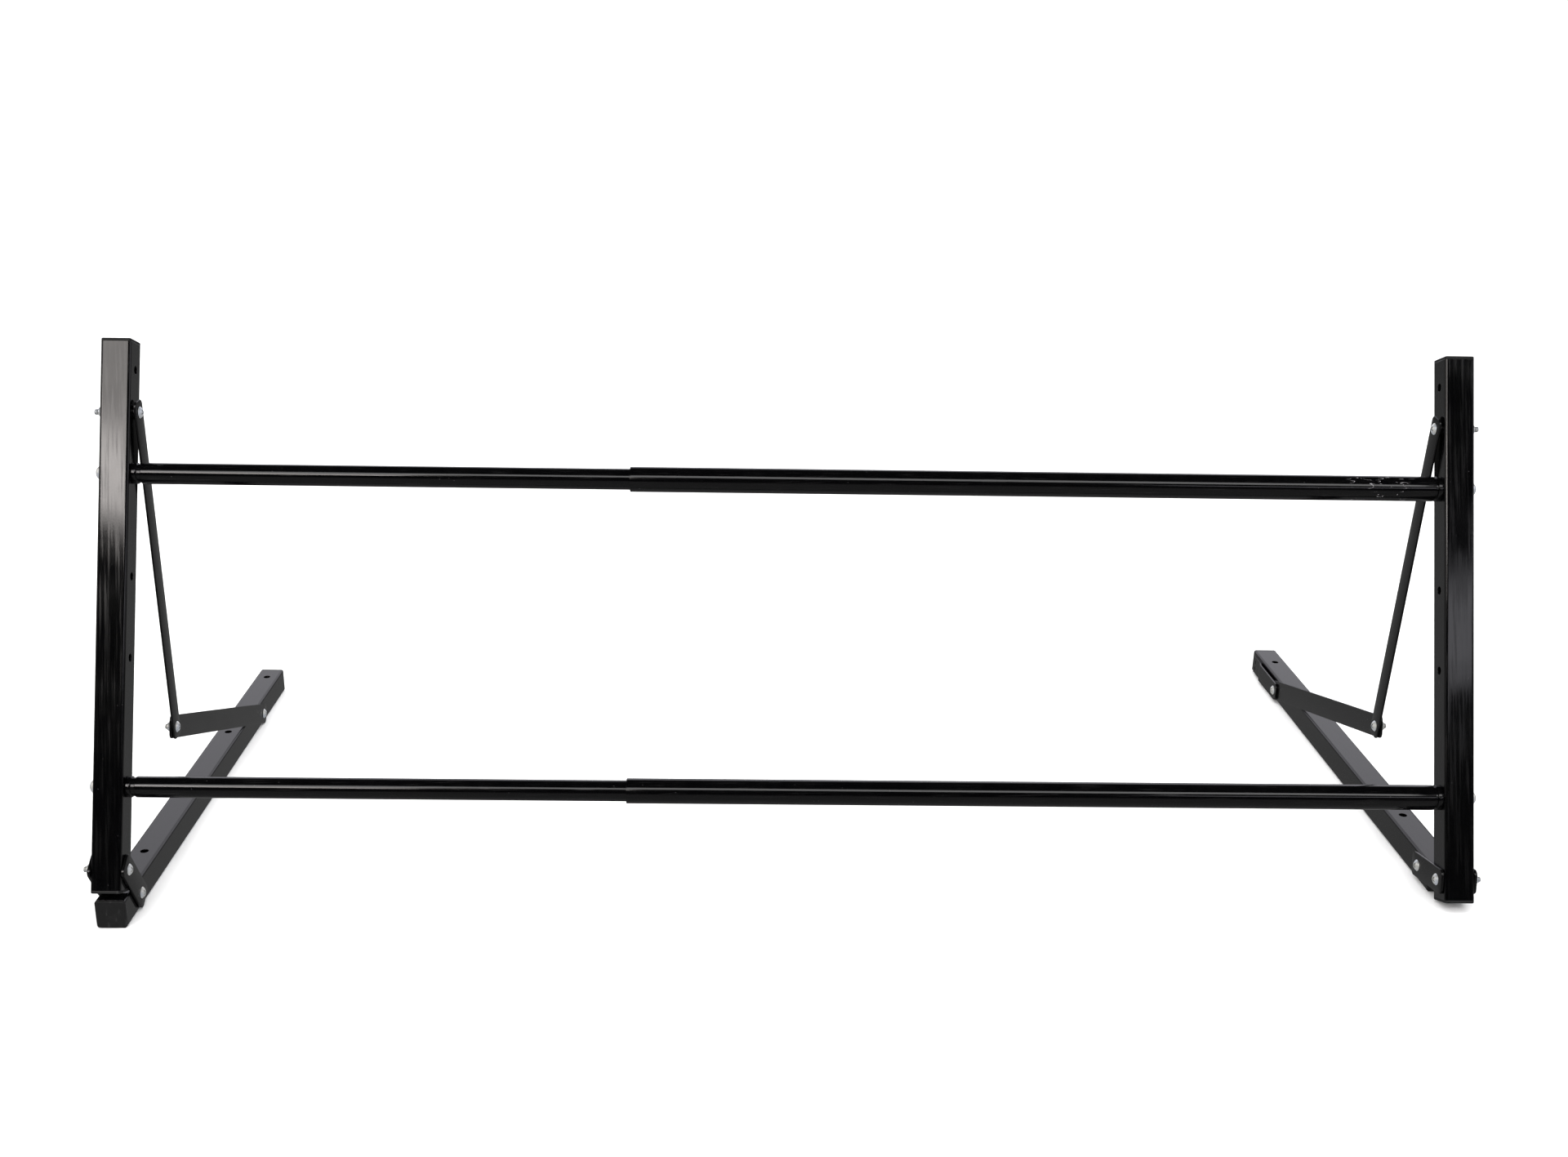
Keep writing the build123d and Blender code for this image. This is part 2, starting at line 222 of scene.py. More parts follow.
def ramp(tree, factor, low, high):
    """0 below low, 1 above high, and a smooth step between them."""
    made = add_node(tree, "ShaderNodeMapRange", [("Value", factor), ("From Min", low), ("From Max", high)],
                    interpolation_type="SMOOTHSTEP")
    return made.outputs["Result"]


def noise(tree, scale, detail=2.0, stretch=(1.0, 1.0, 1.0)):
    """Noise on the object's own coordinates, with scale in cycles per metre."""
    place = add_node(tree, "ShaderNodeTexCoord")
    mapping = add_node(tree, "ShaderNodeMapping", [("Vector", place.outputs["Object"])])
    mapping.inputs["Scale"].default_value = stretch
    made = add_node(tree, "ShaderNodeTexNoise",
                    [("Vector", mapping.outputs[0]), ("Scale", scale), ("Detail", detail)])
    return made.outputs[0]


# %% Orange peel, mottling and specks of a sprayed skin
def sprayed_skin():
    """Height of soft cells with a finer grain, broad clouds of mottling, and rare round specks."""
    group, given, out = new_group("sprayed_skin", {"Cells per metre": 600.0, "Speck size": 0.5},
                                  {"Height": "NodeSocketFloat", "Mottle": "NodeSocketFloat",
                                   "Speck": "NodeSocketFloat"})
    peel = noise(group, 600.0, 1.5)
    group.links.new(given.outputs["Cells per metre"], peel.node.inputs["Scale"])
    fine = noise(group, 2600.0, 1.0)
    cloud = noise(group, 22.0, 3.0)
    grit = add_node(group, "ShaderNodeTexVoronoi", [("Scale", 210.0)], feature="F1")
    place = add_node(group, "ShaderNodeTexCoord")
    group.links.new(place.outputs["Object"], grit.inputs["Vector"])
    speck_edge = maths(group, "MULTIPLY", given.outputs["Speck size"], 0.16)
    speck = maths(group, "LESS_THAN", grit.outputs["Distance"], speck_edge)
    pick = add_node(group, "ShaderNodeSeparateColor", [("Color", grit.outputs["Color"])])
    rare = maths(group, "GREATER_THAN", pick.outputs[0], 0.93)
    height = maths(group, "ADD", maths(group, "MULTIPLY", peel, 0.8), maths(group, "MULTIPLY", fine, 0.2))
    group.links.new(height, out.inputs["Height"])
    group.links.new(cloud, out.inputs["Mottle"])
    group.links.new(maths(group, "MULTIPLY", speck, rare), out.inputs["Speck"])
    return group


# %% Wear along edges
def worn_edges():
    """A mask that is 1 on tight edges, where a rounded normal leaves the true one, broken up by noise."""
    group, given, out = new_group("worn_edges", {"Reach": 0.0008, "Breaks": 0.5},
                                  {"Mask": "NodeSocketFloat", "Soft normal": "NodeSocketVector"})
    round_edge = add_node(group, "ShaderNodeBevel", [("Radius", given.outputs["Reach"])], samples=6)
    true_face = add_node(group, "ShaderNodeNewGeometry")
    both = [(0, round_edge.outputs[0]), (1, true_face.outputs["Normal"])]
    likeness = add_node(group, "ShaderNodeVectorMath", both, operation="DOT_PRODUCT")
    edge = ramp(group, maths(group, "SUBTRACT", 1.0, likeness.outputs["Value"]), 0.03, 0.22)
    gaps = maths(group, "MULTIPLY", given.outputs["Breaks"], -0.3)
    breaks = ramp(group, maths(group, "ADD", noise(group, 420.0, 4.0), gaps), 0.36, 0.52)
    group.links.new(maths(group, "MULTIPLY", edge, breaks, clamp=True), out.inputs["Mask"])
    group.links.new(round_edge.outputs[0], out.inputs["Soft normal"])
    return group


# %% Dust on faces that look up
def settled_dust():
    """A mask of fine dust: more on faces that look up, gathered in drifts and specks."""
    group, given, out = new_group("settled_dust", {"Amount": 0.3}, {"Mask": "NodeSocketFloat"})
    face = add_node(group, "ShaderNodeNewGeometry")
    parts = add_node(group, "ShaderNodeSeparateXYZ", [("Vector", face.outputs["Normal"])])
    upward = ramp(group, parts.outputs["Z"], -0.1, 1.0)
    drift = ramp(group, noise(group, 60.0, 4.0), 0.35, 0.75)
    specks = ramp(group, noise(group, 1900.0, 1.0), 0.62, 0.74)
    both = maths(group, "ADD", maths(group, "MULTIPLY", drift, 0.35), specks)
    level = maths(group, "ADD", maths(group, "MULTIPLY", upward, 0.8), 0.2)
    lying = maths(group, "MULTIPLY", both, level)
    mask = maths(group, "MULTIPLY", lying, given.outputs["Amount"], clamp=True)
    group.links.new(mask, out.inputs["Mask"])
    return group


SKIN, EDGES, DUST = sprayed_skin(), worn_edges(), settled_dust()
print("node groups", [group.name for group in (SKIN, EDGES, DUST)])


# %% A material and its shader
def start_material(name, constants):
    """A material with one Principled shader, whose constants are set straight on its sockets."""
    material = bpy.data.materials.new(name)
    material.use_nodes = True
    tree = material.node_tree
    shader = tree.nodes["Principled BSDF"]
    for socket, value in constants.items():
        shader.inputs[socket].default_value = value
    return material, tree, shader


def use_group(tree, group, **values):
    """The group placed in a material, with its own values: Cells_per_metre sets "Cells per metre"."""
    made = add_node(tree, "ShaderNodeGroup")
    made.node_tree = group
    for key, value in values.items():
        made.inputs[key.replace("_", " ")].default_value = value
    return made


def bumped(tree, shader, height, distance, normal=None, strength=1.0):
    """Feeds a height, in metres of relief, to the shader's normal."""
    links = [("Height", height), ("Distance", distance), ("Strength", strength)]
    if normal is not None:
        links.append(("Normal", normal))
    made = add_node(tree, "ShaderNodeBump", links)
    tree.links.new(made.outputs[0], shader.inputs["Normal"])


# %% [markdown]
# ## Powder coat
# Powder is sprayed dry and baked until it flows together, so the skin is thick, glossy and slightly
# wavy. Over sharp edges it pulls back, and a folded or stamped edge soon shows a pale line. Bars that
# slide in each other are rubbed, and a cloth leaves faint streaks along the tubes. One function with
# different numbers makes the paint of the tubes, the stamped flat steel and the bars. The base layer's
# roughness does most of the work, and a thin clear coat over it keeps the highlights crisp.

# %% Powder coat material
PAINT_BLACK = (0.0006, 0.0006, 0.0008, 1.0)
PAINT_THIN = (0.060, 0.059, 0.061, 1.0)
DUST_GREY = (0.30, 0.29, 0.275, 1.0)
SCRATCH_GREY = (0.42, 0.41, 0.42, 1.0)
SCRATCH_REACH = 0.036          # metres of bar on each side of the scratched place
SCRATCH_FROM_END = 0.060       # metres from the bar's end to that place


def scratches(tree, centre):
    """Thin broken lines where noise crosses its middle value, fading out SCRATCH_REACH from the point."""
    place = add_node(tree, "ShaderNodeTexCoord").outputs["Object"]
    parts = add_node(tree, "ShaderNodeSeparateXYZ", [("Vector", place)])
    away = maths(tree, "ABSOLUTE", maths(tree, "SUBTRACT", parts.outputs["X"], float(centre[0])))
    near = ramp(tree, maths(tree, "SUBTRACT", SCRATCH_REACH, away), 0.0, 0.5 * SCRATCH_REACH)
    wander = maths(tree, "SUBTRACT", noise(tree, 150.0, 2.0, stretch=(0.3, 1.0, 1.0)), 0.5)
    line = ramp(tree, maths(tree, "SUBTRACT", 0.010, maths(tree, "ABSOLUTE", wander)), 0.0, 0.009)
    broken = ramp(tree, noise(tree, 90.0, 3.0), 0.47, 0.56)
    lines = maths(tree, "MULTIPLY", line, broken)
    return maths(tree, "MULTIPLY", lines, maths(tree, "MULTIPLY", near, 0.8))


def powder_coat(name, roughness, wear, dust, scuff=0.0, wiped=0.0, peel=9e-6, scratched=None):
    """Black powder coat. wear and dust are amounts. scuff adds rubbed lines along the bars, wiped adds the
    streaks of a cloth along the tubes, and scratched is a world point with scratches round it."""
    gloss = {"Specular IOR Level": 0.5, "IOR": 1.5, "Coat Weight": 0.1, "Coat Roughness": 0.05}
    material, tree, shader = start_material(name, gloss)
    skin = use_group(tree, SKIN, Cells_per_metre=560.0, Speck_size=0.5)
    edges = use_group(tree, EDGES, Reach=0.0007, Breaks=0.6)
    dusty = use_group(tree, DUST, Amount=dust)
    rubbed = ramp(tree, noise(tree, 900.0, 3.0, stretch=(0.02, 1.0, 1.0)), 0.60, 0.74)
    rubbed = maths(tree, "MULTIPLY", rubbed, scuff)
    streaks = ramp(tree, noise(tree, 420.0, 3.0, stretch=(1.0, 0.035, 0.035)), 0.46, 0.70)
    streaks = maths(tree, "MULTIPLY", streaks, wiped)
    worn = maths(tree, "MULTIPLY", edges.outputs["Mask"], wear)
    bare = maths(tree, "MAXIMUM", worn, maths(tree, "MULTIPLY", rubbed, 0.12))
    bare = maths(tree, "MAXIMUM", bare, maths(tree, "MULTIPLY", streaks, 0.02))
    painted = mix_colour(tree, bare, PAINT_BLACK, PAINT_THIN)
    specked = mix_colour(tree, maths(tree, "MULTIPLY", skin.outputs["Speck"], 0.7), painted, PAINT_THIN)
    colour = mix_colour(tree, dusty.outputs["Mask"], specked, DUST_GREY)
    if scratched is not None:
        colour = mix_colour(tree, scratches(tree, scratched), colour, SCRATCH_GREY)
    tree.links.new(colour, shader.inputs["Base Color"])
    patchy = maths(tree, "MULTIPLY", maths(tree, "SUBTRACT", skin.outputs["Mottle"], 0.5), 0.16)
    patchy = maths(tree, "ADD", patchy, maths(tree, "MULTIPLY", streaks, 0.09))
    rough = maths(tree, "ADD", maths(tree, "ADD", roughness, patchy), maths(tree, "MULTIPLY", bare, 0.25))
    rough = maths(tree, "ADD", rough, maths(tree, "MULTIPLY", rubbed, 0.18))
    rough = maths(tree, "ADD", rough, maths(tree, "MULTIPLY", dusty.outputs["Mask"], 0.5), clamp=True)
    tree.links.new(rough, shader.inputs["Roughness"])
    bumped(tree, shader, skin.outputs["Height"], peel, edges.outputs["Soft normal"])
    return material


TUBE_FINISH = {"roughness": 0.09, "wear": 0.35, "dust": 0.008, "wiped": 1.0, "peel": 5e-6}
FLAT_FINISH = {"roughness": 0.20, "wear": 0.60, "dust": 0.03, "peel": 6e-6}
BAR_FINISH = {"roughness": 0.10, "wear": 0.45, "dust": 0.008, "scuff": 0.8, "peel": 2e-6}
scratched_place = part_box("upper_thick_tube")[1] - Vector((SCRATCH_FROM_END, 0.0, 0.0))
TUBE_PAINT = powder_coat("tube_powder_coat", **TUBE_FINISH)
FLAT_PAINT = powder_coat("flat_steel_powder_coat", **FLAT_FINISH)
BAR_PAINT = powder_coat("bar_powder_coat", **BAR_FINISH)
SCRATCHED_PAINT = powder_coat("scratched_bar_powder_coat", scratched=scratched_place, **BAR_FINISH)
print("powder coats", [paint.name for paint in (TUBE_PAINT, FLAT_PAINT, BAR_PAINT, SCRATCHED_PAINT)])

# %% [markdown]
# ## Moulded plastic
# The end caps are pushed into the tubes. Their skin copies a spark-eroded mould: a fine even grain,
# duller than the paint, a little greyer, and polished where hands and floors have rubbed the rim.

# %% Cap plastic material
PLASTIC_BLACK = (0.0055, 0.0055, 0.0058, 1.0)
PLASTIC_RUBBED = (0.045, 0.045, 0.046, 1.0)


def cap_plastic():
    """Black polyethylene with a fine grain, rubbed rims and a few scuffs."""
    material, tree, shader = start_material("cap_plastic", {"Specular IOR Level": 0.42, "IOR": 1.49})
    skin = use_group(tree, SKIN, Cells_per_metre=2300.0, Speck_size=0.8)
    edges = use_group(tree, EDGES, Reach=0.0012, Breaks=0.4)
    dusty = use_group(tree, DUST, Amount=0.05)
    scuffs = ramp(tree, noise(tree, 260.0, 6.0, stretch=(1.0, 1.0, 0.35)), 0.60, 0.72)
    pale = maths(tree, "MAXIMUM", maths(tree, "MULTIPLY", edges.outputs["Mask"], 0.35),
                 maths(tree, "MULTIPLY", scuffs, 0.30))
    rubbed = mix_colour(tree, pale, PLASTIC_BLACK, PLASTIC_RUBBED)
    tree.links.new(mix_colour(tree, dusty.outputs["Mask"], rubbed, DUST_GREY), shader.inputs["Base Color"])
    patchy = maths(tree, "MULTIPLY", skin.outputs["Mottle"], 0.18)
    rough = maths(tree, "ADD", maths(tree, "SUBTRACT", 0.46, maths(tree, "MULTIPLY", scuffs, 0.10)), patchy)
    tree.links.new(rough, shader.inputs["Roughness"])
    bumped(tree, shader, skin.outputs["Height"], 2.2e-5)
    return material


CAP_PLASTIC = cap_plastic()
print("plastic", CAP_PLASTIC.name)

# %% [markdown]
# ## Zinc plate
# Bright zinc is a thin metal layer that takes a faint blue and yellow cast from its chromate dip. It is
# never quite even: it clouds, and grime gathers in patches. We vary the colour with slow noise, add noisy
# grime, paint shade into the hollows of the recess and the thread, and roughen it in small patches. The
# film scatters some plain light too, which a Metallic value below 1 gives.

# %% Zinc material
ZINC_BLUE, ZINC_YELLOW = (0.70, 0.74, 0.80, 1.0), (0.79, 0.79, 0.76, 1.0)
# The dark colour serves both for real grime patches and for painted shade in the hollows.
ZINC_BRIGHT, GRIME_AND_SHADE = (0.90, 0.90, 0.88, 1.0), (0.075, 0.072, 0.065, 1.0)
# This reach sets how near another surface must be for painted shade to darken a hollow.
SHADE_REACH = 0.0016          # metres within which something near makes a hollow


def zinc_plate(name, roughness, grime):
    """Zinc with a clouded blue and yellow cast, noisy grime of that amount, and painted shade in its
    hollows.
    """
    material, tree, shader = start_material(name, {"Metallic": 0.72})
    skin = use_group(tree, SKIN, Cells_per_metre=1500.0, Speck_size=0.6)
    edges = use_group(tree, EDGES, Reach=0.0004, Breaks=0.2)
    cast = ramp(tree, noise(tree, 130.0, 3.0), 0.38, 0.62)
    plated = mix_colour(tree, cast, ZINC_BLUE, ZINC_YELLOW)
    grime_and_shade = maths(tree, "MULTIPLY", ramp(tree, noise(tree, 900.0, 4.0), 0.45, 0.68), grime)
    # Painted shade: ambient occlusion darkens the recess, the thread and other hollows towards the dark
    # grime colour.
    open_sky = add_node(tree, "ShaderNodeAmbientOcclusion", [("Distance", SHADE_REACH)], samples=8)
    painted_hollow_shade = ramp(tree, maths(tree, "SUBTRACT", 1.0, open_sky.outputs["AO"]), 0.15, 0.5)
    # The mask takes the noisy grime or the painted shade of the hollows, whichever is stronger.
    grime_and_shade = maths(tree, "MAXIMUM", grime_and_shade, maths(tree, "MULTIPLY", painted_hollow_shade, 0.92))
    grimed_and_shaded = mix_colour(tree, grime_and_shade, plated, GRIME_AND_SHADE)
    shiny = mix_colour(tree, maths(tree, "MULTIPLY", edges.outputs["Mask"], 0.5), grimed_and_shaded, ZINC_BRIGHT)
    tree.links.new(shiny, shader.inputs["Base Color"])
    patchy = maths(tree, "MULTIPLY", skin.outputs["Mottle"], 0.16)
    rough = maths(tree, "ADD", maths(tree, "ADD", roughness, patchy), maths(tree, "MULTIPLY", grime_and_shade, 0.3))
    tree.links.new(rough, shader.inputs["Roughness"])
    bumped(tree, shader, skin.outputs["Height"], 7e-6)
    return material


BOLT_ZINC = zinc_plate("bolt_zinc", roughness=0.24, grime=0.20)
NUT_ZINC = zinc_plate("nut_zinc", roughness=0.26, grime=0.45)
print("zinc", BOLT_ZINC.name, NUT_ZINC.name)


# %% [markdown]
# ## Domed bolts with a cross recess
# The hinges and links close with low domed bolts, 12 mm across, and the bars with larger ones. A cross
# cut by a boolean leaves slivers in a curved head. Instead the whole head is one grid in polar form
# whose rings slowly change from the outline of the cross to the round rim, so every ring of the recess
# is a ring of the mesh. The thread is the same grid with a ripple that climbs one pitch per turn.

# %% A bolt as one closed surface
COLUMNS = 96                   # points round a bolt, a nut, a plug or a cap
RECESS_HALF_LENGTH, RECESS_HALF_WIDTH, RECESS_DEPTH = 3.2, 0.65, 1.4       # millimetres
RECESS_TURN = 20.0             # degrees
M6 = {"shank": 3.0, "head": 6.0, "dome": 3.4, "pitch": 1.0}
M8 = {"shank": 4.0, "head": 8.0, "dome": 5.6, "pitch": 1.25}


def cross_outline(angle):
    """Radius of a cross at an angle: the nearer of an arm's end and an arm's side."""
    folded = (angle + pi / 4) % (pi / 2) - pi / 4
    side = RECESS_HALF_WIDTH / np.maximum(np.abs(np.sin(folded)), 1e-6)
    return np.minimum(RECESS_HALF_LENGTH / np.cos(folded), side)


def dome_height(radius, head, dome):
    """Height of a shallow sphere that is dome high in the middle and 0 at the head's rim."""
    sphere = (dome**2 + head**2) / (2 * dome)
    return np.sqrt(np.maximum(sphere**2 - radius**2, 0)) - (sphere - dome)


def threaded_rows(radius, pitch, start, stop, angle):
    """Rows down a thread: the radius dips by half a pitch in a triangle wave that climbs with the angle."""
    height = np.arange(start, stop, -pitch / 5)[:, None]
    phase = (height / pitch - angle / (2 * pi)) % 1.0
    dip = 0.55 * pitch * (1 - np.abs(2 * phase - 1))
    return radius - dip * 0.9, height * np.ones_like(angle)


def bolt_grid(seat, axis, kind, tip, turn):
    """Rows from the recess's floor over the dome, round the rim, down the shank and thread to the tip."""
    angle = np.linspace(0, 2 * pi, COLUMNS, endpoint=False)[None, :]
    cross = cross_outline(angle - radians(turn))
    head, dome, shank = kind["head"], kind["dome"], kind["shank"]
    floor = dome - RECESS_DEPTH
    share = np.array([0.0, 0.45, 0.86, 0.93])[:, None]
    recess_radius = share * cross
    recess_height = floor + np.array([-0.25, -0.15, 0.0, 0.1])[:, None] * np.ones_like(angle)
    spread = np.linspace(0, 1, 16)[:, None] ** 1.2
    cap_radius = (1.02 * cross) * (1 - spread) + (head - 0.12) * spread
    cap_height = dome_height(cap_radius, head, dome)
    cap_height[0] -= 0.06
    radii, heights = [recess_radius, cap_radius], [recess_height, cap_height]
    for radius, height in ((head, 0.22), (head - 0.04, 0.06), (head - 0.15, 0.0), (shank + 0.4, 0.0),
                           (shank, -0.4), (shank, tip + 12.0)):
        radii.append(radius * np.ones_like(angle))
        heights.append(height * np.ones_like(angle))
    thread_radius, thread_height = threaded_rows(shank, kind["pitch"], tip + 11.5, tip + 0.6, angle)
    radii += [thread_radius, (shank - 0.75) * np.ones_like(angle), np.zeros_like(angle)]
    heights += [thread_height, tip * np.ones_like(angle), tip * np.ones_like(angle)]
    radius, height = np.concatenate(radii), np.concatenate(heights)
    local = np.stack([radius * np.cos(angle), radius * np.sin(angle), height], -1)
    return stand(local, seat, ALONG, np.cross(axis, ALONG), axis), False


def finished(piece, body, slot, *stands_for):
    """Puts a new piece on its body and hides the CAD nodes that it stands for; slot is not used."""
    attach(piece, body)
    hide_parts(*stands_for)
    return piece


def middle_of(part):
    """Middle of a CAD node along the rack's three directions."""
    return extent(part).mean(0)


def on_axis(point, axis, reach):
    """World point beside a rack point, at that reach along an axis parallel to the bars."""
    return axis * reach + ALONG * point[1] + UP * point[2]


def reach_along(part, axis):
    """Lowest and highest of a CAD node's vertices along a direction."""
    reach = vertices_of(part) @ axis
    return reach.min(), reach.max()


def make_bolts(part, body, points, kind, axis, turn):
    """All the bolts of one CAD node: its outermost point is the dome's top and its innermost the tip."""
    lowest, highest = reach_along(part, axis)
    seat = highest - kind["dome"] * MM
    tip = (lowest - seat) / MM
    grids = [bolt_grid(on_axis(point, axis, seat), axis, kind, tip, turn) for point in points]
    return finished(make_piece(part + "_turned", grids, BOLT_ZINC), body, "zinc", part)


hinge_points, bar_points, elbow_points = {}, {}, {}
for side, sign in SIDES.items():
    inward, outward = -sign * ACROSS, sign * ACROSS
    hinge_points[side] = [pivot(f"{side}_arm_hinge"), pivot(f"{side}_plate_hinge")]
    bar_points[side] = [middle_of(f"{level}_{side}_bar_plug") for level in ("upper", "lower")]
    elbow_points[side] = middle_of(f"{side}_elbow_bolt")
    turn = RECESS_TURN * -sign
    make_bolts(f"{side}_hinge_bolts", f"{side}_plates", hinge_points[side], M6, inward, turn)
    make_bolts(f"{side}_link_bolt", f"{side}_arm", [pivot(f"{side}_long_link_hinge")], M6, inward, turn)
    make_bolts(f"{side}_rail_link_bolt", f"{side}_rail", [pivot(f"{side}_short_link_hinge")], M6,
               inward, turn)
    make_bolts(f"{side}_bar_bolts", f"{side}_arm", bar_points[side], M8, outward, turn)


# %% The elbow bolts, which stop inside the long link
ELBOW_FULL_TIP = -14.0         # millimetres: deeper than the shank that is kept


def elbow_bolt(side, sign):
    """A domed head on a short plain shank: its threaded tip stands in the nut, on the short link."""
    part, axis = f"{side}_elbow_bolt", -sign * ACROSS
    lowest, highest = reach_along(part, axis)
    seat = highest - M6["dome"] * MM
    centre = on_axis(elbow_points[side], axis, seat)
    grid, ring = bolt_grid(centre, axis, M6, ELBOW_FULL_TIP, RECESS_TURN * -sign)
    heights = (grid @ axis - seat) / MM
    grid = grid + axis * ((np.maximum(heights, (lowest - seat) / MM) - heights) * MM)[..., None]
    piece = make_piece(part + "_turned", [(grid, ring)], BOLT_ZINC)
    return finished(piece, f"{side}_long_link", "zinc", part)


for side, sign in SIDES.items():
    elbow_bolt(side, sign)
print("elbow bolts at", {side: [round(v, 4) for v in point] for side, point in elbow_points.items()})

# %% [markdown]
# ## Locking nuts
# A locking nut is a hexagon whose corners are turned off by a cone, with a round collar that grips a
# nylon ring. Its outline is the smaller of the hexagon and the cone at each height, which gives the
# curved edges that a real chamfered nut shows. The surface closes on itself through the bore.

# %% Nuts
NUT_HALF_FLATS, NUT_HEIGHT, COLLAR_HEIGHT, COLLAR_RADIUS, NUT_BORE = 5.0, 5.2, 1.4, 4.4, 2.85


def nut_grid(seat, axis):
    """Rows round a closed section: up the faceted side, over the collar and down through the bore."""
    angle = np.linspace(0, 2 * pi, COLUMNS, endpoint=False)[None, :]
    folded = (angle + pi / 6) % (pi / 3) - pi / 6
    hexagon = NUT_HALF_FLATS / np.cos(folded)
    shoulder = NUT_HEIGHT - COLLAR_HEIGHT
    height = np.concatenate([[0.0], np.linspace(0.05, 0.5, 5), np.linspace(0.8, shoulder - 0.5, 4),
                             np.linspace(shoulder - 0.4, shoulder, 5)])[:, None]
    from_face = np.minimum(height, shoulder - height)
    cone = NUT_HALF_FLATS - 0.1 + from_face * 1.9
    side = np.minimum(hexagon, cone)
    ones = np.ones_like(angle)
    collar = arc((COLLAR_RADIUS - 0.7, NUT_HEIGHT - 0.7), 0.7, 0, 90, 5)
    ring = np.array([(COLLAR_RADIUS + 0.15, shoulder + 0.02), (COLLAR_RADIUS, shoulder + 0.15), *collar,
                     (NUT_BORE + 0.55, NUT_HEIGHT - 0.12), (NUT_BORE + 0.4, NUT_HEIGHT - 0.45),
                     (NUT_BORE, NUT_HEIGHT - 0.6), (NUT_BORE, 0.4), (NUT_BORE + 0.4, 0.0)])
    radius = np.concatenate([side, ring[:, :1] * ones])
    tall = np.concatenate([height * ones, ring[:, 1:] * ones])
    local = np.stack([radius * np.cos(angle), radius * np.sin(angle), tall], -1)
    return stand(local, seat, ALONG, np.cross(axis, ALONG), axis), True


def stub_grid(seat, axis, kind, bottom, top):
    """A threaded stub with chamfered ends, from bottom to top above the seat."""
    angle = np.linspace(0, 2 * pi, COLUMNS, endpoint=False)[None, :]
    ones = np.ones_like(angle)
    middle, shank = 0 * ones, kind["shank"]
    thread_radius, thread_height = threaded_rows(shank, kind["pitch"], top - 0.5, bottom + 0.3, angle)
    radius = np.concatenate([middle, (shank - 0.8) * ones, thread_radius, 0.6 * shank * ones, middle])
    height = np.concatenate([top * ones, top * ones, thread_height, bottom * ones, bottom * ones])
    local = np.stack([radius * np.cos(angle), radius * np.sin(angle), height], -1)
    return stand(local, seat, ALONG, np.cross(axis, ALONG), axis), False


def make_nuts(part, body, points, axis, stub=None):
    """The nuts of one CAD node, standing outwards, and the bolt's tip if it stands out by stub."""
    lowest, highest = reach_along(part, axis)
    if stub is None:
        grids = [nut_grid(on_axis(point, axis, lowest), axis) for point in points]
    else:
        seat = highest - (NUT_HEIGHT + stub) * MM
        centre = on_axis(points[0], axis, seat)
        tip = stub_grid(centre, axis, M6, (lowest - seat) / MM, NUT_HEIGHT + stub)
        grids = [nut_grid(centre, axis), tip]
    return finished(make_piece(part + "_turned", grids, NUT_ZINC), body, "zinc", part)


ELBOW_TIP = 2.5                # millimetres of thread that stand out of an elbow nut
for side, sign in SIDES.items():
    outward = sign * ACROSS
    make_nuts(f"{side}_hinge_nuts", f"{side}_plates", hinge_points[side], outward)
    make_nuts(f"{side}_link_nut", f"{side}_arm", [pivot(f"{side}_long_link_hinge")], outward)
    make_nuts(f"{side}_rail_link_nut", f"{side}_rail", [pivot(f"{side}_short_link_hinge")], outward)
    make_nuts(f"{side}_elbow_nut", f"{side}_short_link", [elbow_points[side]], outward, ELBOW_TIP)
print("nut across corners", round(2 * NUT_HALF_FLATS / cos(pi / 6), 2), "mm")

# %% [markdown]
# ## Washers, spacers, plugs and bars
# These are all turned parts: a profile of radius and height carried round an axis. The bars' ends are
# rolled over a little where they were cut, and the plugs have a chamfered flange and a plain neck. A
# profile is the plainest way to say that, and it is how a lathe makes them.

# %% Rings and plugs
RING_COLUMNS, RING_EDGE = 64, 0.25


def ring_profile(outer, bore, height, edge):
    """Section of a ring with its outer edges eased by edge."""
    return [(bore, 0), (outer - edge, 0), (outer, edge), (outer, height - edge), (outer - edge, height),
            (bore, height)]


def make_ring(part, body, points, axis, outer, bore, material, slot):
    """The washers or spacers of one CAD node, from its lowest face to its highest."""
    lowest, highest = reach_along(part, axis)
    profile = ring_profile(outer, bore, (highest - lowest) / MM, RING_EDGE)
    grids = [(turned(profile, RING_COLUMNS, on_axis(point, axis, lowest), axis), True) for point in points]
    return finished(make_piece(part + "_turned", grids, material), body, slot, part)


SPACER, WASHER = (7.5, 3.05), (8.5, 4.2)          # outer radius and bore
BAR_RADIUS = {"left": 10.65, "right": 12.7}
BAR_WALL = {"left": 1.2, "right": 1.5}
PLUG_FLANGE, PLUG_BORE, PLUG_BOTTOM, PLUG_PLAY = 5.5, 4.0, 4.0, 0.04


